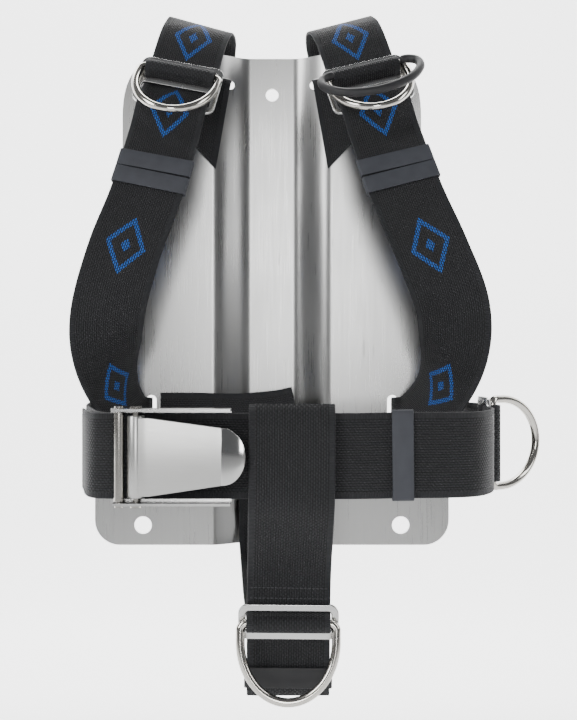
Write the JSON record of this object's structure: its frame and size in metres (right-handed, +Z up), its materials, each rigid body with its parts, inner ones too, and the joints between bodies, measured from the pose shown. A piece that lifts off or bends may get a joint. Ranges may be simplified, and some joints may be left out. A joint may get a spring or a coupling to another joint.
{
  "type": "diving backplate harness",
  "caption": "Bent stainless diving backplate threaded with black webbing: shoulder straps, belt with cam buckle, crotch strap, D-rings and rubber keepers.",
  "frame": {"origin": "on the rear face of the plate's channel, midway between the two cylinder bolt holes", "axes": "+X to the wearer's left, +Y away from the wearer, towards the cylinder, +Z up along the plate"},
  "size_m": [0.3242, 0.2301, 0.4676],
  "materials": {
    "satin_steel": "satin stainless steel with a vertical brushed grain",
    "polished_steel": "polished stainless steel wire",
    "black_webbing": "stiff black nylon webbing in a close basket weave with ribbed selvedges",
    "grey_rubber": "matte dark grey rubber"
  },
  "bodies": {
    "harness": {"backplate": "satin_steel", "right_shoulder_slide": "satin_steel", "right_shoulder_webbing": "black_webbing", "right_keeper_upper": "grey_rubber", "right_keeper_lower": "grey_rubber", "right_anchor_webbing": "black_webbing", "left_shoulder_slide": "satin_steel", "left_shoulder_webbing": "black_webbing", "left_keeper_upper": "grey_rubber", "left_keeper_lower": "grey_rubber", "left_anchor_webbing": "black_webbing", "hip_slide": "satin_steel", "left_waist_webbing": "black_webbing", "right_waist_webbing": "black_webbing", "tucked_belt_end": "black_webbing", "waist_keeper": "grey_rubber", "crotch_slide": "satin_steel", "crotch_webbing": "black_webbing", "crotch_keeper": "grey_rubber", "buckle_frame": "satin_steel", "buckle_pin": "satin_steel", "buckle_roller": "satin_steel", "buckle_roller_pin": "satin_steel"},
    "right_chest_ring_body": {"right_chest_ring": "polished_steel"},
    "left_chest_ring_body": {"left_chest_ring": "polished_steel", "left_ring_retainer": "grey_rubber"},
    "hip_ring_body": {"hip_ring": "polished_steel"},
    "crotch_ring_body": {"crotch_ring": "polished_steel"},
    "buckle_lever_body": {"buckle_lever": "satin_steel"}
  },
  "joints": [
    {"name": "right_chest_ring_hinge", "type": "hinge", "parent": "harness", "child": "right_chest_ring_body", "pos_m": [-0.06533, -0.06194, 0.14217], "axis": [-0.9766, 0.0779, 0.2003], "range_deg": [-10, 120]},
    {"name": "left_chest_ring_hinge", "type": "hinge", "parent": "harness", "child": "left_chest_ring_body", "pos_m": [0.06768, -0.06456, 0.14219], "axis": [-0.9639, -0.0965, -0.2482], "range_deg": [-10, 110]},
    {"name": "hip_ring_hinge", "type": "hinge", "parent": "harness", "child": "hip_ring_body", "pos_m": [0.14785, -0.12794, -0.121], "axis": [0, 0, -1], "range_deg": [-35, 90]},
    {"name": "crotch_ring_hinge", "type": "hinge", "parent": "harness", "child": "crotch_ring_body", "pos_m": [0.01266, -0.19634, -0.22482], "axis": [-1, 0, 0.0083], "range_deg": [0, 120]},
    {"name": "buckle_lever_hinge", "type": "hinge", "parent": "harness", "child": "buckle_lever_body", "pos_m": [-0.0765, -0.21601, -0.1225], "axis": [0, 0, -1], "range_deg": [0, 110]}
  ]
}
